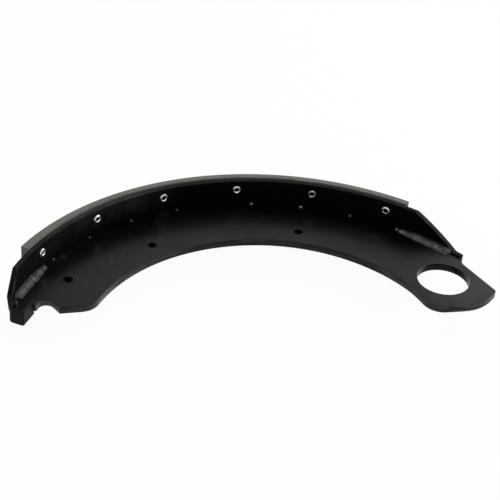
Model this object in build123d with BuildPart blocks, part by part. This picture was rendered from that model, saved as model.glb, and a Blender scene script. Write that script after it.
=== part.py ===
from build123d import *
from math import asin, atan2, cos, degrees, radians, sin, sqrt
import os

# A drum brake shoe with a single web, lying on its side with the drum's axis upright.
# It is laid out about the drum's axis, with the web's middle plane at z = 0 and +Y through the
# middle of the rivets. Angles in the web's plane run from +Y towards +X, where the anchor is.
# Depths are measured inwards from the table's inner face. The last step moves the whole shoe, so
# that the origin is the centre of the anchor bore.

# Drum, table and lining
drum_radius = 210.0
lining_thickness = 7.0
table_thickness = 4.0
shoe_width = 50.0
lining_cam_angle = -47.4
lining_anchor_angle = 48.4
table_edge_radius = 0.5

# Ends of the table, narrowed above and below; the cam end is cut a little askew
cam_corner_angle = -54.5
cam_end_upper_angle = -57.75
cam_end_lower_angle = -57.0
cam_end_half_width = 7.0
anchor_corner_angle = 51.6
anchor_tongue_angle = 62.7
anchor_end_angle = 64.6
anchor_tongue_half_width = 4.8
anchor_taper_bulge = 0.4

# Web, narrowest where its inner edge, an arc off the drum's axis, comes nearest to the table
web_thickness = 6.0
web_depth = 51.1
web_edge_radius = 0.5
inner_arc_offset = 7.7
inner_arc_offset_angle = 9.0
inner_arc_end_angle = 12.0
cam_face_corner_radius = 16.0
seat_edge_radius = 1.2

# Eye round the anchor pin: four straight sides, each with a wall beside the bore and the
# direction it faces, as an angle from +X towards +Y
anchor_depth = 32.25
anchor_angle = 67.85
anchor_bore_radius = 20.25
eye_outer_wall = 7.15
eye_outer_side_angle = 13.6
eye_end_wall = 18.4
eye_end_side_angle = -54.3
eye_foot_wall = 14.0
eye_foot_side_angle = -98.0
eye_waist_wall = 8.1
eye_waist_side_angle = -170.4
eye_shoulder = 8.6
eye_corner_radii = [3.0, 35.0, 15.0]
eye_blend_radius = 50.0

# Seat for the cam roller, and the nose beyond it: the seat lies inwards of the nose's outer side,
# and the nose's end and the flat cam face are measured from the seat's centre
nose_gap = 1.3
seat_depth = 22.1
seat_angle = -55.98
seat_radius = 5.9
seat_lip_side_angle = 141.2
seat_far_side_angle = 21.7
cam_face_depth = 5.0
cam_face_side_angle = -95.7
nose_length = 19.9
nose_end_side_angle = 229.3
nose_outer_side_angle = 149.0
nose_shoulder_length = 5.6

# Wear cap folded round the nose
cap_thickness = 2.5
cap_width = 12.6
cap_outer_leg = 10.0
cap_inner_leg = 16.0
cap_bend_radii = [4.0, 1.6]
cap_slot = 1.5
cap_setback = 1.8
cap_edge_radius = 0.8

# Small holes in the web, from the cam end to the anchor
web_hole_depths = [23.7, 36.6, 37.0]
web_hole_angles = [-45.0, -18.4, 24.5]
web_hole_radii = [3.8, 3.4, 3.4]

# Tubular rivets in two rows
rivets_per_row = 6
rivet_pitch_angle = 17.73
rivet_edge_distance = 8.0
rivet_shank_radius = 2.4
rivet_clearance = 0.2
rivet_head_radius = 4.6
rivet_head_thickness = 1.5
rivet_floor = 2.5
counterbore_clearance = 0.5
rivet_roll_radius = 3.5
rivet_roll_height = 1.1
rivet_tube_radius = 1.6
rivet_tube_depth = 5.0

# Fillet welds at both ends of the table, and the small welds between them
weld_web_leg = 5.4
weld_table_leg = 3.6
weld_valley_share = 0.86
weld_crown = 0.9
weld_end_share = 0.5
weld_run_in_share = 0.35
weld_ripple_pitch = 2.4
cam_weld_angles = (-43.3, -56.8)
anchor_weld_angles = (49.3, 62.2)
spot_radius = 1.7
spot_pitch_angle = 11.7
spot_middle_angle = 3.6
spot_middle_gap_angle = 18.1
spots_per_side = 4

# Sizes that follow from the ones above
table_outer_radius = drum_radius - lining_thickness
table_inner_radius = table_outer_radius - table_thickness
half_width = shoe_width / 2
web_top = web_thickness / 2
inner_arc_radius = table_inner_radius - web_depth - inner_arc_offset
anchor_pitch_radius = table_inner_radius - anchor_depth
nose_outer_radius = table_inner_radius - nose_gap
seat_pitch_radius = nose_outer_radius - seat_depth
rivet_row_height = half_width - rivet_edge_distance
rivet_seat_radius = table_outer_radius + rivet_floor
rivet_roll_seat = sqrt(table_inner_radius**2 - rivet_roll_radius**2)
rivet_places = [
    ((column - (rivets_per_row - 1) / 2) * rivet_pitch_angle, row)
    for row in (rivet_row_height, -rivet_row_height)
    for column in range(rivets_per_row)
]


def polar(radius, angle):
    """Point in the web's plane at a radius from the drum's axis."""
    return Vector(radius * sin(radians(angle)), radius * cos(radians(angle)))


def normal(angle):
    """Unit vector at an angle from +X towards +Y."""
    return Vector(cos(radians(angle)), sin(radians(angle)))


def corner(first, second):
    """Corner of two straight sides, each given as (centre, normal angle, distance)."""
    n1, n2 = normal(first[1]), normal(second[1])
    d1 = n1.dot(first[0]) + first[2]
    d2 = n2.dot(second[0]) + second[2]
    det = n1.X * n2.Y - n1.Y * n2.X
    return Vector((d1 * n2.Y - d2 * n1.Y) / det, (n1.X * d2 - n2.X * d1) / det)


def radial_plane(radius, angle, height=0.0):
    """Plane that faces outwards at a place on a cylinder round the drum's axis."""
    across = (cos(radians(angle)), -sin(radians(angle)), 0)
    outwards = (sin(radians(angle)), cos(radians(angle)), 0)
    place = polar(radius, angle)
    return Plane(origin=(place.X, place.Y, height), x_dir=across, z_dir=outwards)


def section_plane(angle, height=0.0):
    """Plane through the drum's axis: local x is the radius, local y the height."""
    along = (cos(radians(angle)), -sin(radians(angle)), 0)
    outwards = (sin(radians(angle)), cos(radians(angle)), 0)
    return Plane(origin=(0, 0, height), x_dir=outwards, z_dir=along)


def ring_sector(inner, outer, first_angle, last_angle):
    """Closed outline of a band between two radii and two angles."""
    CenterArc((0, 0), outer, 90 - last_angle, last_angle - first_angle)
    CenterArc((0, 0), inner, 90 - last_angle, last_angle - first_angle)
    Line(polar(inner, first_angle), polar(outer, first_angle))
    Line(polar(inner, last_angle), polar(outer, last_angle))


# Sides of the nose: outer edge, end and the lip that faces the roller
axis_point = Vector(0, 0)
seat_centre = polar(seat_pitch_radius, seat_angle)
nose_sides = [
    (axis_point, nose_outer_side_angle, nose_outer_radius),
    (seat_centre, nose_end_side_angle, nose_length),
    (seat_centre, seat_lip_side_angle, seat_radius + cap_setback),
]
nose_corner = corner(nose_sides[0], nose_sides[1])
nose_tip = corner(nose_sides[1], nose_sides[2])
cap_heel = nose_corner + normal(nose_outer_side_angle - 90) * cap_outer_leg
cap_toe = nose_tip + normal(seat_lip_side_angle - 90) * cap_inner_leg

# Folded steel cap: the cam's wear face, one strip bent twice round the nose
with BuildPart() as nose_cap:
    with BuildSketch():
        with BuildLine():
            FilletPolyline(cap_heel, nose_corner, nose_tip, cap_toe, radius=cap_bend_radii)
            offset(amount=cap_thickness, side=Side.LEFT, closed=True)
        make_face()
    extrude(amount=cap_width / 2, both=True)
    fillet(nose_cap.faces().filter_by(Axis.Z).edges(), cap_edge_radius)
nose_cap.part.label = "nose_cap"

# Web: a flat plate with the anchor eye at one end and the roller seat and nose at the other
anchor_centre = polar(anchor_pitch_radius, anchor_angle)
eye_sides = [
    (anchor_centre, eye_outer_side_angle, anchor_bore_radius + eye_outer_wall),
    (anchor_centre, eye_end_side_angle, anchor_bore_radius + eye_end_wall),
    (anchor_centre, eye_foot_side_angle, anchor_bore_radius + eye_foot_wall),
    (anchor_centre, eye_waist_side_angle, anchor_bore_radius + eye_waist_wall),
]
eye_corners = [corner(eye_sides[k], eye_sides[k + 1]) for k in range(3)]
eye_start = anchor_centre + normal(eye_outer_side_angle) * eye_sides[0][2]
eye_start += normal(eye_outer_side_angle + 90) * eye_shoulder
eye_finish = anchor_centre + normal(eye_waist_side_angle) * eye_sides[3][2]
inner_arc_centre = polar(inner_arc_offset, inner_arc_offset_angle)
waist_start = inner_arc_centre + polar(inner_arc_radius, inner_arc_end_angle)
waist_tangent = normal(-inner_arc_end_angle)

cap_inside = [
    (axis_point, nose_outer_side_angle, nose_outer_radius - cap_thickness - cap_slot),
    (seat_centre, nose_end_side_angle, nose_length - cap_thickness),
    (seat_centre, seat_lip_side_angle, nose_sides[2][2] + cap_thickness),
]
cap_inside_radii = [max(radius - cap_thickness, 0) for radius in cap_bend_radii]
nose_inner_corner = corner(cap_inside[0], cap_inside[1])
nose_inner_tip = corner(cap_inside[1], cap_inside[2])
nose_start = cap_heel - normal(nose_outer_side_angle) * (cap_thickness + cap_slot)
nose_shoulder_angle = degrees(atan2(cap_heel.X, cap_heel.Y) + nose_shoulder_length / table_inner_radius)
lip_step = cap_toe + normal(seat_lip_side_angle) * cap_thickness
lip_start = cap_toe - normal(seat_lip_side_angle) * cap_setback
seat_near_side = (seat_centre, seat_lip_side_angle, seat_radius)
seat_far_side = (seat_centre, seat_far_side_angle, seat_radius)
cam_face = (seat_centre, cam_face_side_angle, cam_face_depth)
seat_apex = corner(seat_near_side, seat_far_side)
seat_edge = corner(seat_far_side, cam_face)
cam_face_normal = normal(cam_face_side_angle)
cam_face_reach = cam_face_normal.dot(seat_edge - inner_arc_centre)
cam_face_end = inner_arc_centre + cam_face_normal * cam_face_reach
cam_face_end -= normal(cam_face_side_angle + 90) * sqrt(inner_arc_radius**2 - cam_face_reach**2)
cam_face_angle = degrees(asin((cam_face_end - inner_arc_centre).X / inner_arc_radius))

with BuildPart() as web:
    with BuildSketch():
        with BuildLine():
            CenterArc(
                (0, 0), table_inner_radius, 90 - anchor_end_angle, anchor_end_angle - nose_shoulder_angle
            )
            FilletPolyline(
                polar(table_inner_radius, nose_shoulder_angle),
                nose_start,
                nose_inner_corner,
                nose_inner_tip,
                lip_step,
                lip_start,
                seat_apex,
                seat_edge,
                cam_face_end,
                radius=[0] + cap_inside_radii + [0, 0, seat_radius, seat_edge_radius],
            )
            CenterArc(
                inner_arc_centre,
                inner_arc_radius,
                90 - inner_arc_end_angle,
                inner_arc_end_angle - cam_face_angle,
            )
            TangentArc(waist_start, eye_finish, tangent=waist_tangent)
            FilletPolyline(
                polar(table_inner_radius, anchor_end_angle),
                eye_start,
                *eye_corners,
                eye_finish,
                radius=[0] + eye_corner_radii,
            )
        face = make_face()
        fillet(face.vertices().sort_by_distance(cam_face_end)[0], cam_face_corner_radius)
        fillet(vertices().sort_by_distance(eye_finish)[0], eye_blend_radius)
    extrude(amount=web_top, both=True)
    outline = [edge for face in web.faces().filter_by(Axis.Z) for edge in face.edges()]
    bare = [edge for edge in outline if (edge @ 0.5).X > lip_start.X]
    fillet([edge for edge in bare if (edge @ 0.5).length < table_inner_radius], web_edge_radius)
    with Locations(anchor_centre):
        Hole(anchor_bore_radius)
    for depth, angle, radius in zip(web_hole_depths, web_hole_angles, web_hole_radii):
        with Locations(polar(table_inner_radius - depth, angle)):
            Hole(radius)
web.part.label = "web"

# Table: a rolled strip whose ends are cut back, steeply at the cam and in a long taper at the anchor
anchor_taper_middle = (anchor_corner_angle + anchor_end_angle) / 2
cam_taper_middle = (cam_corner_angle + cam_end_upper_angle) / 2
past_edge = half_width + table_thickness


def along(angle, middle):
    """Distance along the flat of a plane that touches the table at its middle angle."""
    return table_outer_radius * sin(radians(angle - middle))


with BuildPart() as table:
    with BuildSketch():
        with BuildLine():
            ring_sector(table_inner_radius, table_outer_radius, cam_end_upper_angle, anchor_end_angle)
        make_face()
    extrude(amount=half_width, both=True)
    fillet(table.edges().filter_by(GeomType.CIRCLE), table_edge_radius)
    with BuildSketch(radial_plane(table_outer_radius, cam_taper_middle)):
        with BuildLine():
            cut_start = along(cam_corner_angle, cam_taper_middle)
            upper_end = along(cam_end_upper_angle, cam_taper_middle)
            lower_end = along(cam_end_lower_angle, cam_taper_middle)
            Polyline(
                (cut_start, -half_width),
                (upper_end, -cam_end_half_width),
                (lower_end, cam_end_half_width),
                (cut_start, half_width),
                (cut_start, past_edge),
                (2 * upper_end, past_edge),
                (2 * upper_end, -past_edge),
                (cut_start, -past_edge),
                close=True,
            )
        make_face()
    extrude(amount=2 * table_thickness, both=True, mode=Mode.SUBTRACT)
    with BuildSketch(radial_plane(table_outer_radius, anchor_taper_middle)):
        with BuildLine():
            taper_start = (along(anchor_corner_angle, anchor_taper_middle), half_width)
            taper_finish = (along(anchor_tongue_angle, anchor_taper_middle), anchor_tongue_half_width)
            past_end = 2 * along(anchor_end_angle, anchor_taper_middle)
            SagittaArc(taper_start, taper_finish, anchor_taper_bulge)
            Polyline(
                taper_start,
                (taper_start[0], past_edge),
                (past_end, past_edge),
                (past_end, anchor_tongue_half_width),
                taper_finish,
            )
        make_face()
        mirror(about=Plane.XZ)
    extrude(amount=3 * table_thickness, both=True, mode=Mode.SUBTRACT)
    with Locations([radial_plane(table_outer_radius, *place) for place in rivet_places]):
        Hole(rivet_shank_radius + rivet_clearance, depth=2 * table_thickness)
table.part.label = "table"

# Lining: moulded friction material with a stepped hole for each rivet
with BuildPart() as lining:
    with BuildSketch():
        with BuildLine():
            ring_sector(table_outer_radius, drum_radius, lining_cam_angle, lining_anchor_angle)
        make_face()
    extrude(amount=half_width, both=True)
    with Locations([radial_plane(drum_radius, *place) for place in rivet_places]):
        CounterBoreHole(
            radius=rivet_shank_radius + rivet_clearance,
            counter_bore_radius=rivet_head_radius + counterbore_clearance,
            counter_bore_depth=drum_radius - rivet_seat_radius,
            depth=2 * lining_thickness,
        )
lining.part.label = "lining"

# Rivets: the head sits in the lining's step and the hollow end is rolled over inside the table
rivets = []
for number, (angle, height) in enumerate(rivet_places):
    with BuildPart() as rivet:
        profile_plane = section_plane(angle, height)
        with BuildSketch(profile_plane):
            with BuildLine():
                head_face = rivet_seat_radius + rivet_head_thickness
                tube_end = rivet_roll_seat + rivet_tube_depth
                roll_middle = (rivet_roll_radius + rivet_tube_radius) / 2
                roll_slope = (rivet_roll_radius - rivet_tube_radius) / 8
                roll_crest = rivet_roll_seat - rivet_roll_height
                roll_flank = rivet_roll_seat - 0.6 * rivet_roll_height
                Polyline(
                    (rivet_roll_seat, rivet_tube_radius),
                    (roll_flank, rivet_tube_radius + roll_slope),
                    (roll_crest, roll_middle - roll_slope),
                    (roll_crest, roll_middle + roll_slope),
                    (roll_flank, rivet_roll_radius - roll_slope),
                    (rivet_roll_seat, rivet_roll_radius),
                    (rivet_roll_seat, rivet_shank_radius),
                    (rivet_seat_radius, rivet_shank_radius),
                    (rivet_seat_radius, rivet_head_radius),
                    (head_face, rivet_head_radius),
                    (head_face, 0),
                    (tube_end + rivet_tube_radius / 2, 0),
                    (tube_end, rivet_tube_radius),
                    (rivet_roll_seat, rivet_tube_radius),
                )
            make_face()
        revolve(axis=Axis(profile_plane.origin, profile_plane.x_dir))
    row = "upper" if height > 0 else "lower"
    rivet.part.label = f"rivet_{row}_{number % rivets_per_row + 1}"
    rivets.append(rivet.part)


def rippled_weld(label, first_angle, last_angle, side):
    """Fillet weld in the corner of web and table, lofted through crests and valleys in turn."""
    length = radians(abs(last_angle - first_angle)) * table_inner_radius
    steps = 2 * round(length / weld_ripple_pitch)
    root = Vector(table_inner_radius, side * web_top)
    with BuildPart() as bead:
        for step in range(steps + 1):
            grown = min(1, step / (weld_run_in_share * steps), (steps - step) / 2)
            size = (weld_end_share + (1 - weld_end_share) * grown) * (weld_valley_share, 1)[step % 2]
            web_toe = root - Vector(weld_web_leg * size, 0)
            table_toe = root + Vector(0, side * weld_table_leg * size)
            rise = Vector(-1, side).normalized() * weld_crown * size
            web_crown = web_toe * 0.65 + table_toe * 0.35 + rise
            table_crown = web_toe * 0.35 + table_toe * 0.65 + rise
            with BuildSketch(section_plane(first_angle + (last_angle - first_angle) * step / steps)):
                with BuildLine():
                    Polyline(table_toe, root, web_toe, web_crown, table_crown, close=True)
                make_face()
        loft(ruled=True)
    bead.part.label = label
    return bead.part


welds = []
for side, name in ((1, "upper"), (-1, "lower")):
    welds.append(rippled_weld(f"cam_weld_{name}", *cam_weld_angles, side))
    welds.append(rippled_weld(f"anchor_weld_{name}", *anchor_weld_angles, side))

# Small welds that tack the web to the table between the end welds, alike above and below
spot_angles = [
    spot_middle_angle + side * (spot_middle_gap_angle / 2 + number * spot_pitch_angle)
    for side in (-1, 1)
    for number in range(spots_per_side)
]
tacks = []
for side, name in ((1, "upper"), (-1, "lower")):
    with BuildPart() as spots:
        with Locations([polar(table_inner_radius, angle) for angle in spot_angles]):
            with Locations((0, 0, side * web_top)):
                Sphere(spot_radius)
        with Locations((0, 0, side * (web_top + spot_radius))):
            Cylinder(table_inner_radius, 2 * spot_radius, mode=Mode.INTERSECT)
    spots.part.label = f"tack_welds_{name}"
    tacks.append(spots.part)

os.makedirs("parts", exist_ok=True)
for piece in [web.part, table.part, nose_cap.part, lining.part] + rivets + welds + tacks:
    piece.locate(Location(-anchor_centre))
    export_step(piece, f"parts/{piece.label}.step")
    print(f"{piece.label}: {piece.volume / 1000:.2f} cubic centimetres")
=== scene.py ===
# %% [markdown]
# A drum brake shoe for a lorry axle, lying on its side. Its steel skeleton is a flat web welded
# inside a rolled table, and a friction lining is riveted to the table's outer face. The solids
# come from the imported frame. This script gives each of them its finish, and builds the pieces
# whose look lives in fine relief: weld beads with ripples, tack welds and rolled rivets.
#
# The frame is loaded first, because each later step measures itself against it.

# %% Load the frame
import bmesh
import bpy
import numpy as np
from mathutils import Matrix, Vector


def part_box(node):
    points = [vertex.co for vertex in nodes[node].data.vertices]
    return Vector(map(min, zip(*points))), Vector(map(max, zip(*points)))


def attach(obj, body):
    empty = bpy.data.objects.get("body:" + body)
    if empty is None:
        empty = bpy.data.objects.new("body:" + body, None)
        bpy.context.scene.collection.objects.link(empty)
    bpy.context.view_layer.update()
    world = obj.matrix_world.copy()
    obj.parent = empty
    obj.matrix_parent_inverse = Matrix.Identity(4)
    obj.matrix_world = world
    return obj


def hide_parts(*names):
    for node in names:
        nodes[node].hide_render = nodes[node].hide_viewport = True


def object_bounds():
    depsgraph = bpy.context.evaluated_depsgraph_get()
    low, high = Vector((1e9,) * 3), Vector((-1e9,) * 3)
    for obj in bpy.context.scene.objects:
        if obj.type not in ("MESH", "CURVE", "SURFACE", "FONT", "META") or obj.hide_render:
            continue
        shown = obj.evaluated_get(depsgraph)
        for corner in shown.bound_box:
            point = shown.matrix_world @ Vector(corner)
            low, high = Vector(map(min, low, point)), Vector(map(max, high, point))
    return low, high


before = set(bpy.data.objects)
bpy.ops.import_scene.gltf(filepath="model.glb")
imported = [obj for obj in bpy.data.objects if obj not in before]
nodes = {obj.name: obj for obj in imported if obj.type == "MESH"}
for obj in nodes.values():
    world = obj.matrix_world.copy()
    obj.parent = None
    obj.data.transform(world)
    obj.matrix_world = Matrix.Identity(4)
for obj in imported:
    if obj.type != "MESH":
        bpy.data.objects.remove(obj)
cad_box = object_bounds()
print("nodes", len(nodes), "box", [round(c, 4) for corner in cad_box for c in corner])

# %% [markdown]
# The origin is the centre of the anchor bore, but nearly everything on a brake shoe is concentric
# with the drum. So the drum's axis gets a place of its own, worked out from where the anchor is,
# and a helper turns a radius, an angle and a height into a point. Angles run from the middle of
# the lining towards the anchor. All lengths are in metres. Writing x and y by hand for each piece
# would work too, but then a piece that should follow the arc could drift off it.

# %% Places on the shoe
MM = 0.001
anchor_radius = 166.75 * MM
anchor_angle = np.radians(67.85)
drum_axis = -anchor_radius * np.array([np.sin(anchor_angle), np.cos(anchor_angle)])
table_inner = 199 * MM
table_outer = 203 * MM
table_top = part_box("table")[1].z
web_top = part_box("web")[1].z
floor_height = cad_box[0].z


def around(radius, angle, height):
    """Points at a radius from the drum's axis, an angle in radians and a height: an array (..., 3)."""
    radius, angle, height = np.broadcast_arrays(radius, angle, height)
    east = drum_axis[0] + radius * np.sin(angle)
    north = drum_axis[1] + radius * np.cos(angle)
    return np.stack([east, north, height], axis=-1)


print("drum axis", drum_axis.round(4), "web top", round(web_top, 4))

# %% [markdown]
# The camera stands in front of the arch, left of its middle, and looks down at about a third of
# a right angle. It was fitted to the photograph, so it is given as a place, a heading, a tilt and
# a small roll. Heading 0 looks along +Y and grows towards +X. A constraint could aim the camera at
# the shoe, but it would keep the camera level, and the photograph is a little askew. So the three
# directions of the camera are worked out and written into its matrix.

# %% Camera
camera_place = Vector((-451.75, -710.98, 577.83)) * MM
camera_heading = np.radians(22.2013)
camera_tilt = np.radians(34.3115)
camera_roll = np.radians(-5.6458)
focal_pixels = 1316.36
image_pixels = 500
sensor_millimetres = 36

forward = Vector((
    np.sin(camera_heading) * np.cos(camera_tilt),
    np.cos(camera_heading) * np.cos(camera_tilt),
    -np.sin(camera_tilt),
))
level_right = Vector((np.cos(camera_heading), -np.sin(camera_heading), 0))
level_up = level_right.cross(forward)
right = level_right * np.cos(camera_roll) - level_up * np.sin(camera_roll)
up = level_up * np.cos(camera_roll) + level_right * np.sin(camera_roll)

camera_data = bpy.data.cameras.new("camera")
camera_data.sensor_width = sensor_millimetres
camera_data.lens = focal_pixels / image_pixels * sensor_millimetres
camera_data.clip_start = 0.01
camera_data.clip_end = 50
camera = bpy.data.objects.new("camera", camera_data)
camera.matrix_world = Matrix((
    (right.x, up.x, -forward.x, camera_place.x),
    (right.y, up.y, -forward.y, camera_place.y),
    (right.z, up.z, -forward.z, camera_place.z),
    (0, 0, 0, 1),
))
bpy.context.scene.collection.objects.link(camera)
bpy.context.scene.camera = camera
bpy.context.scene.view_settings.view_transform = "Standard"
print("lens", round(camera_data.lens, 2))

# %% [markdown]
# A material is a tree of nodes. It could be clicked together by hand in the shader editor, but a
# script can be read, compared and run again. It is easier to read when each line adds one node, so
# these helpers add a node, set its plain values and join its inputs.

# %% Node helpers


def add(tree, kind, settings=None, **inputs):
    """Adds a node; settings are its options, and inputs are values or output sockets to link.

    An input goes by its name, or by i and its number where several inputs share a name.
    """
    node = tree.nodes.new(kind)
    for name, value in (settings or {}).items():
        setattr(node, name, value)
    for name, value in inputs.items():
        socket = node.inputs[int(name[1:]) if name[0] == "i" and name[1:].isdigit() else name]
        if isinstance(value, bpy.types.NodeSocket):
            tree.links.new(value, socket)
        else:
            socket.default_value = value
    return node


def calc(tree, operation, first, second=0.0, clamp=False):
    """One step of arithmetic on values; returns the output socket."""
    settings = {"operation": operation, "use_clamp": clamp}
    return add(tree, "ShaderNodeMath", settings, i0=first, i1=second).outputs[0]


def times(tree, first, *others):
    """Product of several masks; returns the output socket."""
    for other in others:
        first = calc(tree, "MULTIPLY", first, other)
    return first


def remap(tree, value, low, high, out_low=0.0, out_high=1.0):
    """Maps low..high onto out_low..out_high and clamps there; returns the output socket."""
    names = {"From Min": low, "From Max": high, "To Min": out_low, "To Max": out_high}
    node = add(tree, "ShaderNodeMapRange", {"clamp": True}, Value=value, **names)
    return node.outputs["Result"]


def blend(tree, share, first, second):
    """Mixes two colours by a share from 0 to 1; returns the output socket.

    The node mixes numbers and vectors too, so its colours are inputs 6 and 7, and output 2.
    """
    node = add(tree, "ShaderNodeMix", {"data_type": "RGBA"}, i0=share, i6=first, i7=second)
    return node.outputs[2]


print("node helpers ready")

# %% [markdown]
# Paint, grime and grain are drawn by place: where a point lies on the shoe decides what it looks
# like. A painted image would need the surfaces unfolded first. Object coordinates need nothing of
# the kind, and each solid keeps its place in them, so distances from the drum's axis or along the
# shoe come straight out in metres.

# %% Patterns by place


def noise(tree, vector, scale, detail=3.0, roughness=0.5):
    """Noise value of about 0.5 in the middle, at so many features to the metre."""
    names = {"Vector": vector, "Scale": scale, "Detail": detail, "Roughness": roughness}
    return add(tree, "ShaderNodeTexNoise", None, **names).outputs["Fac"]


def stretched(tree, vector, scale):
    """Vector with each coordinate multiplied, to draw a pattern out along an axis."""
    node = add(tree, "ShaderNodeVectorMath", {"operation": "MULTIPLY"}, i0=vector, i1=scale)
    return node.outputs[0]


def coordinate(tree, vector, axis):
    """One coordinate of a vector, X, Y or Z; returns the output socket."""
    return add(tree, "ShaderNodeSeparateXYZ", None, Vector=vector).outputs[axis]


def height_off_middle(tree, place):
    """Distance above or below the web's middle plane; returns the output socket."""
    return calc(tree, "ABSOLUTE", coordinate(tree, place, "Z"))


def distance_to(tree, place, centre):
    """Distance in the web's plane from an upright axis through a centre; returns the output socket."""
    flat = stretched(tree, place, (1.0, 1.0, 0.0))
    point = (float(centre[0]), float(centre[1]), 0.0)
    return add(tree, "ShaderNodeVectorMath", {"operation": "DISTANCE"}, i0=flat, i1=point).outputs["Value"]


print("patterns ready")

# %% [markdown]
# An effect that several finishes share is a node group. Copying its nodes into each material would
# look the same, but a change would have to be made in every copy. The group has named inputs, so
# each material can turn it up or down.

# %% Groups and materials


def new_group(name, inputs, outputs):
    """Starts a node group with named inputs (name, kind, default) and outputs (name, kind)."""
    group = bpy.data.node_groups.new(name, "ShaderNodeTree")
    for label, kind, default in inputs:
        socket = group.interface.new_socket(label, in_out="INPUT", socket_type=kind)
        if default is not None:
            socket.default_value = default
    for label, kind in outputs:
        group.interface.new_socket(label, in_out="OUTPUT", socket_type=kind)
    return group, group.nodes.new("NodeGroupInput").outputs, group.nodes.new("NodeGroupOutput").inputs


def place_group(tree, group, **inputs):
    """Puts a group into a material with its own values; returns its outputs."""
    names = {name.replace("_", " "): value for name, value in inputs.items()}
    return add(tree, "ShaderNodeGroup", {"node_tree": group}, **names).outputs


def start_material(name):
    """An empty material; returns it, its tree, its Object coordinates and its output's Surface input."""
    material = bpy.data.materials.new(name)
    material.use_nodes = True
    material.node_tree.nodes.clear()
    tree = material.node_tree
    place = tree.nodes.new("ShaderNodeTexCoord").outputs["Object"]
    return material, tree, place, tree.nodes.new("ShaderNodeOutputMaterial").inputs["Surface"]


VALUE, VECTOR = "NodeSocketFloat", "NodeSocketVector"
print("group helpers ready")

# %% [markdown]
# Enamel on rolled and sheared steel is thinnest along its edges. There it is rubbed, and the edge
# catches the light. The pale rubbed colour stands for both: worn paint and a painted highlight along
# the edge. The mask could be painted or baked for each piece. A Bevel node finds edges on any mesh:
# it rounds the normal within a small radius, so wherever that rounded normal leaves the true one an
# edge is near. Noise then breaks the line up.

# %% Edge wear and highlight group
flat_agreement, sharp_agreement = 0.99, 0.8

edge_wear_and_highlight, put_in, put_out = new_group(
    "edge wear and highlight",
    [("Vector", VECTOR, None), ("Radius", VALUE, 0.8 * MM), ("Patch Scale", VALUE, 120.0),
     ("Amount", VALUE, 0.5)],
    [("Mask", VALUE)],
)
# The mask gives pale worn paint, which is also a painted highlight along the edge.
rounded = add(edge_wear_and_highlight, "ShaderNodeBevel", {"samples": 6}, Radius=put_in["Radius"]).outputs[0]
true_normal = add(edge_wear_and_highlight, "ShaderNodeNewGeometry").outputs["Normal"]
agreement = add(edge_wear_and_highlight, "ShaderNodeVectorMath", {"operation": "DOT_PRODUCT"}, i0=rounded, i1=true_normal)
edge = remap(edge_wear_and_highlight, agreement.outputs["Value"], flat_agreement, sharp_agreement)
patch = remap(edge_wear_and_highlight, noise(edge_wear_and_highlight, put_in["Vector"], put_in["Patch Scale"], 4.0), 0.42, 0.62)
worn = calc(edge_wear_and_highlight, "MULTIPLY", edge, patch)
edge_wear_and_highlight.links.new(calc(edge_wear_and_highlight, "MULTIPLY", worn, put_in["Amount"], clamp=True), put_out["Mask"])
print("group", edge_wear_and_highlight.name)

# %% [markdown]
# Sprayed enamel dries with a faint orange peel, and pressed friction material is a mass of small
# grains. Modelled grains would need millions of faces, so both are fine relief with a second,
# coarser wave under it. The group gives the height for a Bump node, and a mask of single specks
# for colour.

# %% Grain group
grain, put_in, put_out = new_group(
    "grain",
    [("Vector", VECTOR, None), ("Fine Scale", VALUE, 900.0), ("Coarse Scale", VALUE, 90.0),
     ("Coarse Share", VALUE, 0.4), ("Speck Size", VALUE, 0.3)],
    [("Height", VALUE), ("Specks", VALUE)],
)
fine = noise(grain, put_in["Vector"], put_in["Fine Scale"], 3.0, 0.6)
coarse = noise(grain, put_in["Vector"], put_in["Coarse Scale"], 4.0)
height = calc(grain, "ADD", fine, calc(grain, "MULTIPLY", coarse, put_in["Coarse Share"]))
cells = add(grain, "ShaderNodeTexVoronoi", None, Vector=put_in["Vector"], Scale=put_in["Fine Scale"])
specks = calc(grain, "LESS_THAN", cells.outputs["Distance"], put_in["Speck Size"])
grain.links.new(height, put_out["Height"])
grain.links.new(specks, put_out["Specks"])
print("group", grain.name)

# %% [markdown]
# Dust settles on what faces up, and thinly on walls. Loose particles would be too small to see, so
# the dust is only a mask that greys the colour. The share of upward facing comes from the normal,
# and noise makes the film uneven.

# %% Dust group
dust, put_in, put_out = new_group(
    "dust",
    [("Vector", VECTOR, None), ("Scale", VALUE, 25.0), ("Amount", VALUE, 0.5)],
    [("Mask", VALUE)],
)
facing = coordinate(dust, add(dust, "ShaderNodeNewGeometry").outputs["Normal"], "Z")
upward = remap(dust, facing, 0.0, 1.0, 0.25, 1.0)
film = remap(dust, noise(dust, put_in["Vector"], put_in["Scale"], 5.0, 0.6), 0.3, 0.75)
dust.links.new(times(dust, upward, film, put_in["Amount"]), put_out["Mask"])
print("group", dust.name)

# %% [markdown]
# Parts that are stacked in a crate scuff each other. A scuff is a thin, slightly curved pale line.
# Each could be placed by hand, but a few at random look more natural. The places where a slow noise
# passes through its middle value form such lines, and a second noise lets them show only here and
# there.

# %% Scuff group
scuff, put_in, put_out = new_group(
    "scuff",
    [("Vector", VECTOR, None), ("Scale", VALUE, 30.0), ("Width", VALUE, 0.012), ("Amount", VALUE, 0.5)],
    [("Mask", VALUE)],
)
distance_off = calc(scuff, "SUBTRACT", noise(scuff, put_in["Vector"], put_in["Scale"], 1.0), 0.5)
share_off = calc(scuff, "DIVIDE", calc(scuff, "ABSOLUTE", distance_off), put_in["Width"])
line = calc(scuff, "SUBTRACT", 1.0, share_off, clamp=True)
shown = remap(scuff, noise(scuff, put_in["Vector"], 45.0, 2.0), 0.52, 0.66)
scuff.links.new(times(scuff, line, shown, put_in["Amount"]), put_out["Mask"])
print("group", scuff.name)
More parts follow.
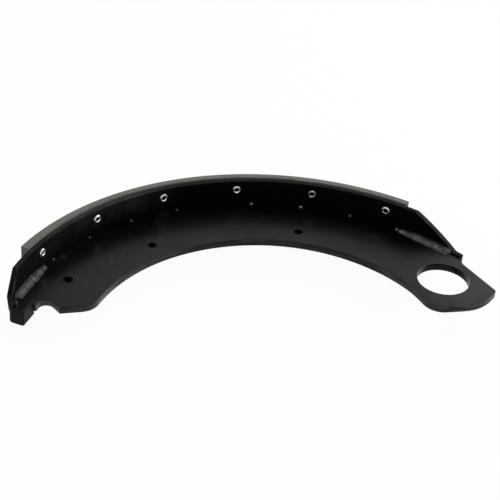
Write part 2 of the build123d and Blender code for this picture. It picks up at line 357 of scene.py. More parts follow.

# %% [markdown]
# The skeleton is sprayed in satin black enamel. The paint itself is close to black, and what the
# eye sees is its soft gloss and a thin grey film of dust and handling. One dark grey all over would
# be simpler, but it looks like plastic. The film and the wear are what differ from place to place,
# so the function below asks for them as masks. Both masks also carry painted light: the film is
# made lighter where light falls and thinner where shade falls, and pale rubbed edges stand in for
# edge highlights. Sheared walls keep faint lines along the plate's edge, drawn by noise that is
# squeezed in height and masked to faces that stand upright. The walls of drilled holes are made
# black, a painted shade, because no light reaches into them.

# %% Satin black enamel
black_paint = (0.0012, 0.0012, 0.0013, 1)
# Pale rubbed paint on edges, also a painted highlight.
worn_and_highlit_enamel = (0.16, 0.16, 0.158, 1)
shear_grey = (0.09, 0.093, 0.091, 1)
# Painted shade for the walls of drilled holes.
no_light = (0.0, 0.0, 0.0, 1)
orange_peel = 0.04 * MM
shear_stretch = (40.0, 40.0, 750.0)
groove_height = 1.6
film_roughness = 0.15
smoother, rougher = 0.04, 0.05


def shear_marks(tree, place):
    """Mask of upright walls, from the normal's height, and noise drawn out along the plate's edge."""
    upright = coordinate(tree, add(tree, "ShaderNodeNewGeometry").outputs["Normal"], "Z")
    wall = remap(tree, calc(tree, "ABSOLUTE", upright), 0.5, 0.2)
    return wall, noise(tree, stretched(tree, place, shear_stretch), 1.0, 3.0)


def hole_shade_mask(tree, place, shaded_holes):
    """Painted shade in round holes, (centre, radius, share): the largest share of those that a point lies
    in.
    """
    mask = 0.0
    for centre, radius, share in shaded_holes:
        near = calc(tree, "LESS_THAN", distance_to(tree, place, centre), radius)
        mask = calc(tree, "MAXIMUM", calc(tree, "MULTIPLY", near, share), mask)
    return mask


def black_enamel(
    name, film_colour, film_and_light_place, wear_and_highlight_place, gloss, satin, scuffed=0.0, sheared=0.0, shaded_holes=()
):
    """Satin enamel from a film's colour, functions that make the masks of film and wear, both partly
    painted light, and a gloss.

    satin is the middle roughness, scuffed and sheared are the strengths of the crate's scuffs and of
    the shear lines on walls. The holes are given as (centre, radius, share), round along z, and their
    walls are made dark by that share, a painted shade.
    """
    material, tree, place, surface = start_material(name)
    wear_and_highlight_amount = wear_and_highlight_place(tree, place)
    wear = place_group(tree, edge_wear_and_highlight, Vector=place, Amount=wear_and_highlight_amount)["Mask"]
    scuffs = place_group(tree, scuff, Vector=place, Amount=scuffed)["Mask"]
    # The film is dust, shaped by the piece's own mask, which also paints light and shade.
    film = times(tree, place_group(tree, dust, Vector=place, Amount=1.0)["Mask"], film_and_light_place(tree, place))
    film = calc(tree, "ADD", film, scuffs, clamp=True)
    wall, shear = shear_marks(tree, place)
    shear_line = times(tree, wall, remap(tree, shear, 0.42, 0.62, 0.0, sheared), wear_and_highlight_amount)
    colour = blend(tree, film, black_paint, film_colour)
    colour = blend(tree, shear_line, colour, shear_grey)
    # Pale rubbed edges: worn paint and a painted highlight.
    colour = blend(tree, wear, colour, worn_and_highlit_enamel)
    rough = remap(tree, noise(tree, place, 35.0, 4.0), 0.3, 0.7, satin - smoother, satin + rougher)
    rough = calc(tree, "ADD", rough, calc(tree, "MULTIPLY", film, film_roughness))
    skin = place_group(tree, grain, Vector=place, Fine_Scale=700.0, Coarse_Scale=140.0)
    grooves = times(tree, wall, calc(tree, "MULTIPLY", shear, groove_height * sheared))
    relief = calc(tree, "ADD", skin["Height"], grooves)
    bump = add(tree, "ShaderNodeBump", None, Strength=0.5, Distance=orange_peel, Height=relief)
    # Painted shade: the walls of the holes turn black, and metallic so that they reflect nothing.
    hole_shade = hole_shade_mask(tree, place, shaded_holes)
    if shaded_holes:
        colour = blend(tree, hole_shade, colour, no_light)
    shader = add(
        tree, "ShaderNodeBsdfPrincipled", None, Roughness=rough, Normal=bump.outputs[0], Metallic=hole_shade,
        **{"Base Color": colour, "Specular IOR Level": gloss},
    )
    tree.links.new(shader.outputs[0], surface)
    return material


print("enamel over", black_paint[:3])

# %% [markdown]
# The web's film is partly dust and partly painted light and shade. It is thinnest in the corner
# under the table and towards the cam end, a painted shade, gets greyer towards its inner edge, and
# is greyest on the far side of the anchor eye, a painted light on the side the lamp falls on. Its
# edges are rubbed most at the cam end and round the eye, and there the pale edges are also a
# painted highlight. A painted map could say this too, but masks of distance and of place along the
# shoe stay right when the outline changes.

# %% Web enamel
web_grey = (0.027, 0.031, 0.03, 1)
anchor_centre = (0.0, 0.0)
shaded_corner = table_inner - 12 * MM
full_film = table_inner - 45 * MM
hole_margin = 0.2 * MM


def web_film_and_light(tree, place):
    """Film on the web, partly painted light: none near the table, a painted shade, more towards the inner
    edge, most round the anchor eye.
    """
    east = coordinate(tree, place, "X")
    # Painted shade: no film in the corner under the table, and little towards the cam end.
    open_web = remap(tree, distance_to(tree, place, drum_axis), shaded_corner, full_film)
    open_web = times(tree, open_web, remap(tree, east, -290 * MM, -230 * MM, 0.05, 0.22))
    # Painted light: most film on the side of the eye that the lamp falls on.
    eye = remap(tree, distance_to(tree, place, anchor_centre), 50 * MM, 30 * MM)
    eye = times(tree, eye, remap(tree, east, -30 * MM, 25 * MM, 0.1, 0.95))
    return calc(tree, "ADD", open_web, eye, clamp=True)


def web_wear_and_highlight(tree, place):
    """Wear and painted highlight on the web's edges: strong at the cam end and round the eye, weak in the
    middle.
    """
    cam_end = remap(tree, coordinate(tree, place, "X"), -170 * MM, -250 * MM, 0.25, 1.0)
    eye = remap(tree, distance_to(tree, place, anchor_centre), 70 * MM, 35 * MM, 0.0, 0.8)
    seam = remap(tree, distance_to(tree, place, drum_axis), table_inner - 2 * MM, table_inner - 4 * MM)
    return times(tree, calc(tree, "MAXIMUM", cam_end, eye), seam)


# Painted shade: the walls of the three holes and the anchor bore are made dark.
bore_shade = (anchor_centre, 20.3 * MM, 0.75)
web_shaded_holes = [
    (around(table_inner - depth * MM, np.radians(angle), 0.0), radius * MM + hole_margin, 1.0)
    for depth, angle, radius in ((23.7, -45.0, 3.8), (36.6, -18.4, 3.4), (37.0, 24.5, 3.4))
]
web_enamel = black_enamel(
    "web_enamel", web_grey, web_film_and_light, web_wear_and_highlight, gloss=0.15, satin=0.28,
    scuffed=0.35, sheared=0.8, shaded_holes=[*web_shaded_holes, bore_shade],
)
print("material", web_enamel.name, "with", len(web_shaded_holes), "holes and the bore")

# %% [markdown]
# The table's inner face is nearly clean, apart from a film in upright streaks towards the cam end,
# a little away from the web. The film is partly painted light and shade: it lightens the wall towards
# the cam end, where the lamp falls on it, and leaves it dark down by the web and on its top rim, a
# painted shade. Its edges are rubbed at the two ends only, because the lining guards the rest, and
# the pale edges are also a painted highlight. A picture of streaks would have to be wrapped onto the
# curved face. Noise that is drawn out in height gives them by place.

# %% Table enamel
table_grey = (0.055, 0.055, 0.052, 1)
streak_stretch = (90.0, 90.0, 8.0)
shoe_centre = around(150 * MM, 0.0, 0.0)


def table_film_and_light(tree, place):
    """Film on the table, partly painted light: away from the web and towards the cam end, in upright
    streaks.
    """
    east, height = coordinate(tree, place, "X"), height_off_middle(tree, place)
    # Painted light: the film grows towards the cam end. Painted shade: it fades near the web and on the top
    # rim.
    cam_end = remap(tree, east, -175 * MM, -225 * MM, 0.0, 2.6)
    nose = remap(tree, east, -300 * MM, -255 * MM, 0.25, 1.0)
    upper = remap(tree, height, web_top + 2 * MM, web_top + 15 * MM)
    rim = remap(tree, height, table_top - 0.3 * MM, table_top - 0.1 * MM, 1.0, 0.35)
    streak = remap(tree, noise(tree, stretched(tree, place, streak_stretch), 1.0), 0.35, 0.65, 0.5, 1.0)
    return times(tree, cam_end, nose, upper, rim, streak)


def table_wear_and_highlight(tree, place):
    """Wear and painted highlight on the table's edges: strong at its ends, none along the lining or in the
    seam.
    """
    seam = remap(tree, height_off_middle(tree, place), web_top + 1 * MM, web_top + 3 * MM)
    ends = remap(tree, distance_to(tree, place, shoe_centre), 150 * MM, 168 * MM)
    return times(tree, ends, seam)


table_enamel = black_enamel("table_enamel", table_grey, table_film_and_light, table_wear_and_highlight, gloss=0.05, satin=0.4)
print("material", table_enamel.name)

# %% [markdown]
# The folded cap on the nose is a wear part that the cam pushes on, so it has the dullest paint, with
# a patchy film and patchy edges. Slow noise is enough for both, because nothing on so small a piece
# follows the shoe's arc.

# %% Cap enamel


def cap_film(tree, place):
    """Film on the nose cap, broken up by slow noise."""
    return remap(tree, noise(tree, place, 60.0), 0.3, 0.7, 0.0, 0.4)


def cap_wear(tree, place):
    """Wear on the nose cap's edges, in patches."""
    return remap(tree, noise(tree, place, 90.0), 0.35, 0.6, 0.4, 1.0)


cap_enamel = black_enamel("cap_enamel", web_grey, cap_film, cap_wear, gloss=0.1, satin=0.5)
print("material", cap_enamel.name)

# %% [markdown]
# A weld bead is painted with the rest, but the spray is thin on its crests, and the steel shines
# through in places, least at the cam end. The pale bare steel on the crests is also a painted
# highlight for the glints of the ripples, and holding it back at the cam end is a painted shade that
# darkens those beads. Noise alone would scatter the bare spots over the valleys too. So each bead
# below carries an attribute called crest, from 0 in a valley to 1 on a crest, and the worn metal
# follows the ripples.

# %% Weld finish
painted_weld = (0.011, 0.011, 0.011, 1)
bare_weld_highlight = (0.2, 0.2, 0.196, 1)
weld_pitting = 0.12 * MM

weld_finish, tree, place, surface = start_material("weld_finish")
crest = add(tree, "ShaderNodeAttribute", {"attribute_name": "crest"}).outputs["Fac"]
broken = remap(tree, noise(tree, place, 240.0, 4.0, 0.6), 0.42, 0.68)
# Painted shade: fewer bare crests at the cam end darken its beads.
cam_end_shade = remap(tree, coordinate(tree, place, "X"), -200 * MM, -100 * MM, 0.4, 1.0)
# Bare crests: worn paint and a painted highlight for their glints.
bare_and_highlight = times(tree, remap(tree, crest, 0.2, 1.0), broken, cam_end_shade)
skin = place_group(tree, grain, Vector=place, Fine_Scale=1500.0, Coarse_Scale=400.0)
bump = add(tree, "ShaderNodeBump", None, Strength=0.6, Distance=weld_pitting, Height=skin["Height"])
shader = add(
    tree, "ShaderNodeBsdfPrincipled", None, Normal=bump.outputs[0],
    Roughness=remap(tree, bare_and_highlight, 0.0, 1.0, 0.42, 0.3), Metallic=calc(tree, "MULTIPLY", bare_and_highlight, 0.4),
    **{"Base Color": blend(tree, bare_and_highlight, painted_weld, bare_weld_highlight)},
)
tree.links.new(shader.outputs[0], surface)
print("material", weld_finish.name)

# %% [markdown]
# Tubular rivets are plated and never painted: they go in after the skeleton is black. The plating
# is bright with a warm cast, a little smeared where the setting tool rolled the end over. Towards
# the anchor end the rings are blotched with grime that the tool left. Inside the tube the colour is
# made near black, a painted shade for the hollow. A second material could do that, but the
# attribute crest, which is 1 there, does it without a hard border between two slots.

# %% Plated rivet
bright_plating = (0.93, 0.91, 0.84, 1)
smeared_plating = (0.5, 0.48, 0.43, 1)
grime = (0.12, 0.12, 0.11, 1)
tube_shade = (0.01, 0.01, 0.009, 1)
smear_relief = 0.06 * MM

plated, tree, place, surface = start_material("plated_rivet")
smear = noise(tree, place, 900.0, 3.0, 0.6)
colour = blend(tree, remap(tree, smear, 0.35, 0.7), bright_plating, smeared_plating)
blot = remap(tree, noise(tree, place, 420.0, 2.0), 0.42, 0.58)
blot = times(tree, blot, remap(tree, coordinate(tree, place, "X"), -160 * MM, -80 * MM, 0.0, 0.85))
colour = blend(tree, blot, colour, grime)
inside = add(tree, "ShaderNodeAttribute", {"attribute_name": "crest"}).outputs["Fac"]
# Painted shade inside the tube.
colour = blend(tree, inside, colour, tube_shade)
rough = remap(tree, smear, 0.3, 0.7, 0.2, 0.38)
bump = add(tree, "ShaderNodeBump", None, Strength=0.4, Distance=smear_relief, Height=smear)
shader = add(
    tree, "ShaderNodeBsdfPrincipled", None, Metallic=1.0, Roughness=rough, Normal=bump.outputs[0],
    **{"Base Color": colour},
)
tree.links.new(shader.outputs[0], surface)
print("material", plated.name)

# %% [markdown]
# The lining is moulded from fibre, resin and fillers, then ground to the drum's radius. Its ground
# sides are a dull grey with an olive cast, full of pale and dark specks. The face that rubs on the
# drum also carries fine lines round the drum's axis from the grinding wheel. They are noise that
# is squeezed in height, because lines cut into the mesh would be far finer than its faces. The
# side edges are made near black next to the table, along a wavering border, and this darkening
# thins out towards the cam end.

# %% Friction lining
olive_grey, pale_grey = (0.112, 0.113, 0.093, 1), (0.155, 0.155, 0.138, 1)
pale_speck, dark_speck = (0.26, 0.255, 0.225, 1), (0.045, 0.044, 0.038, 1)
near_table_black = (0.006, 0.006, 0.006, 1)
border_drift = 3 * MM
lining_grain = 0.15 * MM

lining_finish, tree, place, surface = start_material("friction_lining")
pale = place_group(tree, grain, Vector=place, Fine_Scale=900.0, Coarse_Scale=60.0, Speck_Size=0.22)
turned = stretched(tree, place, (1.3, 1.2, 1.1))
dark = place_group(tree, grain, Vector=turned, Fine_Scale=560.0, Speck_Size=0.24)
body = blend(tree, remap(tree, noise(tree, place, 30.0, 5.0), 0.3, 0.7), olive_grey, pale_grey)
body = blend(tree, calc(tree, "MULTIPLY", pale["Specks"], 0.5), body, pale_speck)
body = blend(tree, calc(tree, "MULTIPLY", dark["Specks"], 0.6), body, dark_speck)
drift = calc(tree, "MULTIPLY", calc(tree, "SUBTRACT", noise(tree, place, 160.0, 4.0), 0.5), border_drift)
reach = calc(tree, "ADD", distance_to(tree, place, drum_axis), drift)
# The sides turn near black next to the table, along a border that wavers.
near_table_share = remap(tree, reach, table_outer + 3.2 * MM, table_outer + 0.8 * MM)
darkening_along = remap(tree, coordinate(tree, place, "X"), -295 * MM, -215 * MM, 0.15, 1.0)
body = blend(tree, times(tree, near_table_share, darkening_along), body, near_table_black)
grinding = noise(tree, stretched(tree, place, (25.0, 25.0, 1400.0)), 1.0, 2.0)
relief = calc(tree, "ADD", pale["Height"], calc(tree, "MULTIPLY", grinding, 0.5))
bump = add(tree, "ShaderNodeBump", None, Strength=0.7, Distance=lining_grain, Height=relief)
shader = add(
    tree, "ShaderNodeBsdfPrincipled", None, Roughness=0.88, Normal=bump.outputs[0], **{"Base Color": body},
)
tree.links.new(shader.outputs[0], surface)
print("material", lining_finish.name)

# %% [markdown]
# The plates, the cap and the lining have their final form in the solids, so they keep their meshes
# and only change their finish. Rebuilding them here would add nothing that the eye could see.

# %% Dress the solids
dress = {"web": web_enamel, "table": table_enamel, "nose_cap": cap_enamel, "lining": lining_finish}
for name, finish in dress.items():
    nodes[name].data.materials.clear()
    nodes[name].data.materials.append(finish)
print("dressed", sorted(dress))

# %% [markdown]
# The new pieces are surfaces on a grid: one direction runs along or round, the other across. A
# curve with a bevel could make such a tube too, but its section would keep one shape all along.
# This helper turns any array of points into a closed mesh. It joins the last column to the first,
# and closes each open end with a fan to one point.

# %% Surface from a grid


def tube_mesh(name, rings, first_point, last_point, crest):
    """Closed mesh from rings, an array (count, sides, 3), with a point at each end.

    Face k of ring j joins point k of ring j to point k + 1, and to the same two points of ring
    j + 1. crest is a value for each ring point, kept as an attribute.
    """
    count, sides = rings.shape[:2]
    points = np.concatenate([rings.reshape(-1, 3), [first_point, last_point]])
    ring, side = np.meshgrid(np.arange(count - 1), np.arange(sides), indexing="ij")
    here, there = ring * sides + side, ring * sides + (side + 1) % sides
    quads = np.stack([here, there, there + sides, here + sides], axis=-1).reshape(-1, 4)
    around_end = np.arange(sides)
    after = (around_end + 1) % sides
    first_index, last_index = count * sides, count * sides + 1
    first_fan = np.stack([after, around_end, np.full(sides, first_index)], axis=-1)
    last_row = (count - 1) * sides
    last_fan = np.stack([last_row + around_end, last_row + after, np.full(sides, last_index)], axis=-1)
    mesh = bpy.data.meshes.new(name)
    mesh.from_pydata(points.tolist(), [], quads.tolist() + first_fan.tolist() + last_fan.tolist())
    mesh.polygons.foreach_set("use_smooth", np.ones(len(mesh.polygons), bool))
    values = np.concatenate([crest.ravel(), [0.0, 0.0]]).astype(np.float32)
    mesh.attributes.new("crest", "FLOAT", "POINT").data.foreach_set("value", values)
    mesh.update()
    return mesh


print("grid helper ready")

# %% [markdown]
# A mesh becomes a piece of the shoe in two steps: it is joined with others of its kind and its
# faces are turned outwards, and then the solids it stands for are hidden. The normals could be
# kept right by the order of each face's points, but asking for them outwards is safer.

# %% From mesh to piece


def join_meshes(name, meshes):
    """One object from several meshes, with its origin at the frame's origin and normals outwards."""
    joined = bmesh.new()
    for mesh in meshes:
        joined.from_mesh(mesh)
        bpy.data.meshes.remove(mesh)
    bmesh.ops.recalc_face_normals(joined, faces=joined.faces)
    result = bpy.data.meshes.new(name)
    joined.to_mesh(result)
    joined.free()
    piece = bpy.data.objects.new(name, result)
    bpy.context.scene.collection.objects.link(piece)
    return piece


def finish_piece(piece, material, slot, *stands_for):
    """Gives a piece its material, lets it ride on the shoe and stand for its solids."""
    piece.data.materials.append(material)
    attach(piece, "root")
    if stands_for:
        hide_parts(*stands_for)
    print(piece.name, len(piece.data.polygons), "faces")


print("piece helpers ready")

# %% [markdown]
# No weld runs evenly: the hand speeds up and slows down, and the pool swells and shrinks. A noise
# texture could displace a smooth bead, but the ripples have to bend with it. So the unevenness is
# a sum of a few waves along the seam, which the bead's shape uses wherever it is uneven.

# %% Uneven waves
wander_waves = 4
shortest_wave, longest_wave = 4, 14


def wander(distance, seed):
    """Slow unevenness between about -1 and 1: a sum of waves with seeded lengths and phases."""
    draw = np.random.default_rng(seed)
    total = np.zeros_like(distance)
    for _ in range(wander_waves):
        length = draw.uniform(shortest_wave, longest_wave) * MM
        total += np.sin(distance / length * 2 * np.pi + draw.uniform(0, 2 * np.pi)) / wander_waves
    return total


print("waves of", shortest_wave, "to", longest_wave, "mm")

# %% [markdown]
# A fillet weld fills the corner where the web meets the table. The welder's pool froze in steps,
# so the bead is a row of overlapping scallops, bowed forwards in the middle, uneven in width and
# height. Separate scallops laid over each other would show their cuts, so the bead is one surface.
# It has two directions: s runs along the seam and v across it, from the toe on the web to the toe
# on the table. The crown bulges as a sine of v, each scallop is a parabola of the distance since
# the last ripple, and slow waves of several lengths make it uneven. The bead swells from a narrow
# start, and both its ends close quickly.

# %% Weld bead
weld_web_leg = 5.7 * MM
weld_table_leg = 3.6 * MM
weld_crown = 1.1 * MM
ripple_pitch = 2.4 * MM
ripple_depth = 0.42 * MM
ripple_bow = 1.5 * MM
ripple_drift = 0.5 * ripple_pitch
ripple_rest = 0.8
run_in_share = 0.35
start_size = 0.5
closing_length = 0.8 * ripple_pitch
closing_least = 0.02
size_swing, leg_swing = 0.07, 0.08
bulge_slope = 0.7
rings_along = 520
points_across = 26


def weld_bead(name, angles, side, seed):
    """Bead surface along the seam between two angles, above (side 1) or below (side -1) the web."""
    length = abs(angles[1] - angles[0]) * table_inner
    s = np.linspace(0, 1, rings_along)[:, None] * length
    v = np.linspace(0, 1, points_across)[None, :]
    bowed = s + ripple_bow * (1 - (2 * v - 1) ** 2) + ripple_drift * wander(s, seed)
    scallop = 1 - (1 - np.mod(bowed / ripple_pitch, 1.0)) ** 2
    run_in = start_size + (1 - start_size) * np.clip(s / (run_in_share * length), 0, 1)
    closing = np.sqrt(np.clip(np.minimum(s, length - s) / closing_length, closing_least, 1))
    size = run_in * closing * (1 + size_swing * wander(s, seed + 1))
    web_leg = weld_web_leg * size * (1 + leg_swing * wander(s, seed + 2))
    table_leg = weld_table_leg * size * (1 + leg_swing * wander(s, seed + 3))
    off_toes = np.sin(np.pi * v) ** 0.5
    bulge = weld_crown * size * np.sin(np.pi * v) + ripple_depth * size * (scallop - ripple_rest) * off_toes
    inward = web_leg * (1 - v) + bulge * bulge_slope
    upward = table_leg * v + bulge * bulge_slope
    angle = angles[0] + (angles[1] - angles[0]) * s / length
    crown = around(table_inner - inward, angle, side * (web_top + upward))
    corner = around(table_inner, angle, side * web_top * np.ones_like(s))
    rings = np.concatenate([crown, corner], axis=1)
    crest = np.concatenate([scallop * off_toes, np.zeros_like(s)], axis=1)
    return tube_mesh(name, rings, corner[0, 0], corner[-1, 0], crest)


print("bead of", rings_along, "by", points_across, "points")

# %% [markdown]
# There are four beads: one at each end of the table, above the web and below it. Copies of one bead
# would be noticed, so each has its own seed. Each runs from the middle of the shoe outwards.

# %% Place the beads
cam_weld_angles = np.radians([-43.3, -56.8])
anchor_weld_angles = np.radians([48.0, 62.2])
first_seed, seed_step = 3, 10

welds = [
    ("cam_weld_upper", cam_weld_angles, 1), ("anchor_weld_upper", anchor_weld_angles, 1),
    ("cam_weld_lower", cam_weld_angles, -1), ("anchor_weld_lower", anchor_weld_angles, -1),
]
for number, (node, angles, side) in enumerate(welds):
    bead = join_meshes(node + "_bead", [weld_bead(node, angles, side, seed_step * number + first_seed)])
    finish_piece(bead, weld_finish, "weld_bead", node)
print("beads", len(welds))

# %% [markdown]
# Between the beads the seam is only tacked. Each tack is a small drop of weld that froze in the
# corner. Metaballs would melt into such drops by themselves, but how large they come out is hard
# to tell beforehand. So a drop is a sphere whose radius is swollen here and there by a few low
# waves round it and along it.

# %% Drop of weld
# A drop is nearly all bare steel: worn paint and a painted highlight for its glints.
drop_crest = 0.9
drop_bulge, drop_twist = 0.1, 0.07
drop_rings, drop_points = 14, 20


def drop_mesh(name, centre, radius, seed):
    """Uneven drop: a sphere of rings from pole to pole, with radius times (1 + seeded waves)."""
    draw = np.random.default_rng(seed)
    polar = np.linspace(0, np.pi, drop_rings + 2)[1:-1, None]
    turn = np.linspace(0, 2 * np.pi, drop_points, endpoint=False)[None, :]
    swell = 1 + drop_bulge * np.sin(2 * turn + draw.uniform(0, 6)) * np.sin(polar)
    swell = swell + drop_twist * np.sin(3 * turn + 2 * polar + draw.uniform(0, 6))
    ball = np.stack([
        np.sin(polar) * np.cos(turn), np.sin(polar) * np.sin(turn), np.cos(polar) * np.ones_like(turn)
    ], axis=-1)
    rings = np.asarray(centre) + radius * swell[..., None] * ball
    top, bottom = (np.asarray(centre) + [0, 0, end * radius] for end in (1, -1))
    return tube_mesh(name, rings, top, bottom, np.full(rings.shape[:2], drop_crest))


print("drop of", drop_rings, "by", drop_points, "points")

# %% [markdown]
# The tacks stand at an even pitch, four to each side of a wider gap in the middle. An Array
# modifier could repeat one drop along the seam, but each would then have the same bumps and the
# same size. So each is built with a seed and a size of its own. They are joined into one piece for
# each face of the web, as their solids are.

# %% Tack welds
tack_radius = 1.65 * MM
tack_sink = 0.2 * MM
tack_share, tack_swing = 0.85, 0.15
tack_middle = 3.6
tack_gap = 18.1
tack_pitch = 11.7
tacks_per_side = 4
first_tack_seed = 40
tack_angles = [
    tack_middle + side * (tack_gap / 2 + number * tack_pitch)
    for side in (-1, 1) for number in range(tacks_per_side)
]

for side, row in ((1, "upper"), (-1, "lower")):
    drops = []
    for number, angle in enumerate(tack_angles):
        centre = around(table_inner - tack_sink, np.radians(angle), side * (web_top + tack_sink))
        radius = tack_radius * (tack_share + tack_swing * np.sin(7 * angle))
        drops.append(drop_mesh("tack", centre, radius, first_tack_seed + number))
    finish_piece(join_meshes(f"tack_drops_{row}", drops), weld_finish, "weld_bead", f"tack_welds_{row}")
print("tacks", len(tack_angles), "on each face")

# %% [markdown]
# The folded cap is held to the nose by a small weld over the mouth of its slot at the heel. The
# photograph shows the upper one as a bright spot past the end of the bead, and the lower one is
# placed alike. The same uneven drop serves, only larger.

# %% Cap tacks
heel_place = np.array([-321.3, 40.7]) * MM
heel_height = 3.8 * MM
heel_drop_radius = 2.0 * MM
middle_heel_seed = 55
heel_drops = [
    drop_mesh("heel", (*heel_place, side * heel_height), heel_drop_radius, middle_heel_seed + side)
    for side in (1, -1)
]
finish_piece(join_meshes("cap_heel_tacks", heel_drops), weld_finish, "weld_bead")

# %% [markdown]
# Each rivet is a tube with a head. The head sits at the bottom of a stepped hole in the lining, and
# the open end comes through the table and is rolled outwards into a ring. Joining a disc, a tube
# and a torus would leave seams between them. One profile of (radius from the drum's axis, radius of
# the rivet) has none: it starts at the floor of the tube, goes over the rolled lip, which is an arc,
# up the shank and round the head.

# %% Rivet profile
head_seat = 205.5 * MM
head_radius = 4.6 * MM
head_thickness = 1.5 * MM
head_dimple = 0.25 * MM
shank_radius = 2.4 * MM
roll_radius = 3.5 * MM
roll_height = 1.1 * MM
roll_points = 17
tube_radius = 1.6 * MM
tube_depth = 5.0 * MM
floor_round = 0.4 * MM
soft_edge = 0.3 * MM


def rivet_profile():
    """Radii from the drum's axis and of the rivet, from the tube's floor round to the head's face."""
    seat = np.sqrt(table_inner**2 - roll_radius**2)
    floor = seat + tube_depth
    face = head_seat + head_thickness
    middle, half = (roll_radius + tube_radius) / 2, (roll_radius - tube_radius) / 2
    swing = np.linspace(0, np.pi, roll_points)
    lip = np.stack([seat - roll_height * np.sin(swing), middle - half * np.cos(swing)], axis=-1)
    inside = [
        (floor + floor_round, 0.35 * tube_radius),
        (floor, 0.9 * tube_radius),
        (floor - floor_round, tube_radius),
    ]
    rim_radius = head_radius - soft_edge
    shank = [(seat, shank_radius), (head_seat, shank_radius), (head_seat, rim_radius)]
    rim = [(head_seat + soft_edge, head_radius), (face - soft_edge, head_radius), (face, rim_radius)]
    dimple = [
        (face, 0.6 * head_radius),
        (face - head_dimple, 0.5 * head_radius),
        (face - head_dimple, 0.1 * head_radius),
    ]
    return np.concatenate([inside, lip, shank, rim, dimple])


print("profile points", len(rivet_profile()))

# %% [markdown]
# The profile is turned round the rivet's own line, which points away from the drum's axis. The
# Screw modifier turns profiles too, but only into perfect circles. Here the ring's radius wobbles
# a little on the way round, most near the lip, as the real ring splits and smears.

# %% Rolled rivets
rivets_per_row = 6
rivet_pitch = np.radians(17.73)
rivet_height = 17.0 * MM
first_rivet_seed = 70
points_round = 40
tube_rings = 4
lip_ring = 8
lip_reach = 0.8 * MM
lip_oval, lip_splits = 0.05, 0.03
floor_bulge = 0.1 * MM


def rivet_mesh(name, angle, height, seed):
    """Turns the profile round a line that points away from the drum's axis at an angle and a height.

    The radius wobbles by two sines of the turn, which fade with the distance from the lip as a bell
    curve does. The attribute crest is 1 on the rings that line the tube.
    """
    draw = np.random.default_rng(seed)
    profile = rivet_profile()
    turn = np.linspace(0, 2 * np.pi, points_round, endpoint=False)[None, :]
    on_lip = np.exp(-((profile[:, 0:1] - profile[lip_ring, 0]) / lip_reach) ** 2)
    oval = lip_oval * np.sin(2 * turn + draw.uniform(0, 6))
    splits = lip_splits * np.sin(5 * turn + draw.uniform(0, 6))
    radius = profile[:, 1:2] * (1 + on_lip * (oval + splits))
    across = np.array([np.cos(angle), -np.sin(angle), 0])
    upwards = np.array([0, 0, 1])
    ring_directions = np.cos(turn)[..., None] * across + np.sin(turn)[..., None] * upwards
    rings = around(profile[:, 0:1], angle, height) + radius[..., None] * ring_directions
    first = around(profile[0, 0] + floor_bulge, angle, height)
    last = around(profile[-1, 0], angle, height)
    in_tube = np.arange(len(profile))[:, None] < tube_rings
    return tube_mesh(name, rings, first, last, in_tube * np.ones(rings.shape[:2]))


for row, height in (("upper", rivet_height), ("lower", -rivet_height)):
    for column in range(rivets_per_row):
        node = f"rivet_{row}_{column + 1}"
        angle = (column - (rivets_per_row - 1) / 2) * rivet_pitch
        rivet = join_meshes(node + "_rolled", [rivet_mesh(node, angle, height, first_rivet_seed + column)])
        finish_piece(rivet, plated, "rivet_steel", node)
print("rivets", 2 * rivets_per_row)

# %% [markdown]
# The shoe lies on a white sweep. More light would make the floor white, but it would bleach the
# lining as well. So the floor is a pale matt sheet, and its own emission for camera, glossy and
# transmission rays lifts it to white while the shadow stays. From below it lets the camera
# through, so the underside can be looked at.

# %% Floor
floor_size = 6.0
floor_white = (0.85, 0.85, 0.85, 1)
pure_white = (1, 1, 1, 1)
lifted_share = 0.96


def seen_rays(tree):
    """Mask of the rays that show the surroundings: camera, glossy and transmission."""
    rays = tree.nodes.new("ShaderNodeLightPath").outputs
    seen = calc(tree, "MAXIMUM", rays["Is Camera Ray"], rays["Is Glossy Ray"])
    return calc(tree, "MAXIMUM", seen, rays["Is Transmission Ray"])


floor_mesh = bpy.data.meshes.new("floor")
corners = floor_size * np.array([[-1, -1, 0], [1, -1, 0], [1, 1, 0], [-1, 1, 0]])
floor_mesh.from_pydata((corners + [0, 0, floor_height]).tolist(), [], [(0, 1, 2, 3)])
floor = bpy.data.objects.new("floor", floor_mesh)
bpy.context.scene.collection.objects.link(floor)

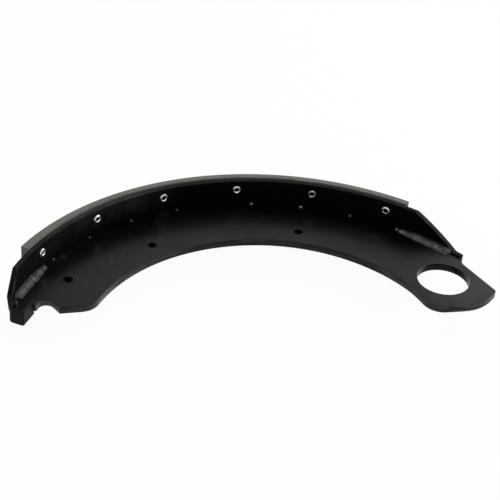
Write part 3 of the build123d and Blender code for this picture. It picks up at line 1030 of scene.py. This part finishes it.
floor_paint, tree, place, surface = start_material("floor_paint")
matt = add(tree, "ShaderNodeBsdfDiffuse", None, Color=floor_white).outputs[0]
glow = add(tree, "ShaderNodeEmission", None, Color=pure_white, Strength=1.0).outputs[0]
lift = calc(tree, "MULTIPLY", seen_rays(tree), lifted_share)
lifted = add(tree, "ShaderNodeMixShader", None, i0=lift, i1=matt, i2=glow).outputs[0]
clear = add(tree, "ShaderNodeBsdfTransparent").outputs[0]
behind = add(tree, "ShaderNodeNewGeometry").outputs["Backfacing"]
tree.links.new(add(tree, "ShaderNodeMixShader", None, i0=behind, i1=lifted, i2=clear).outputs[0], surface)
floor_mesh.materials.append(floor_paint)
print("floor at", round(floor_height, 4))

# %% [markdown]
# The light is that of a product photograph: a large soft lamp above on the right, and an even fill
# from all round. Small spots would be easier to aim, but a lamp that is large for its distance
# gives satin paint broad reflections without hard spots. Its heading, height and power were chosen
# by comparing renders with the photograph.

# %% Soft lamp
lamp_heading = np.radians(75)
lamp_height = np.radians(42)
lamp_distance = 1.3
lamp_size = 0.8
lamp_power = 8
shoe_middle = Vector(((cad_box[0].x + cad_box[1].x) / 2, (cad_box[0].y + cad_box[1].y) / 2, 0))

lamp_data = bpy.data.lights.new("key_lamp", "AREA")
lamp_data.shape = "SQUARE"
lamp_data.size = lamp_size
lamp_data.energy = lamp_power
lamp = bpy.data.objects.new("key_lamp", lamp_data)
lamp_way = Vector((
    np.sin(lamp_heading) * np.cos(lamp_height),
    np.cos(lamp_heading) * np.cos(lamp_height),
    np.sin(lamp_height),
))
lamp.location = shoe_middle + lamp_way * lamp_distance
lamp.rotation_mode = "QUATERNION"
lamp.rotation_quaternion = lamp_way.to_track_quat("Z", "Y")
bpy.context.scene.collection.objects.link(lamp)
print("lamp at", [round(c, 2) for c in lamp.location])

# %% [markdown]
# The fill comes from the world. A white dome at full strength would wash the colours out, so it is
# white only for the rays that see it, and weaker for the light that it throws on the shoe.

# %% World
fill_strength = 0.65

world = bpy.data.worlds.new("studio")
bpy.context.scene.world = world
world.use_nodes = True
tree = world.node_tree
tree.nodes.clear()
strength = remap(tree, seen_rays(tree), 0.0, 1.0, fill_strength, 1.0)
sky = add(tree, "ShaderNodeBackground", None, Color=pure_white, Strength=strength).outputs[0]
tree.links.new(sky, tree.nodes.new("ShaderNodeOutputWorld").inputs["Surface"])
print("world", world.name, "fill", fill_strength)
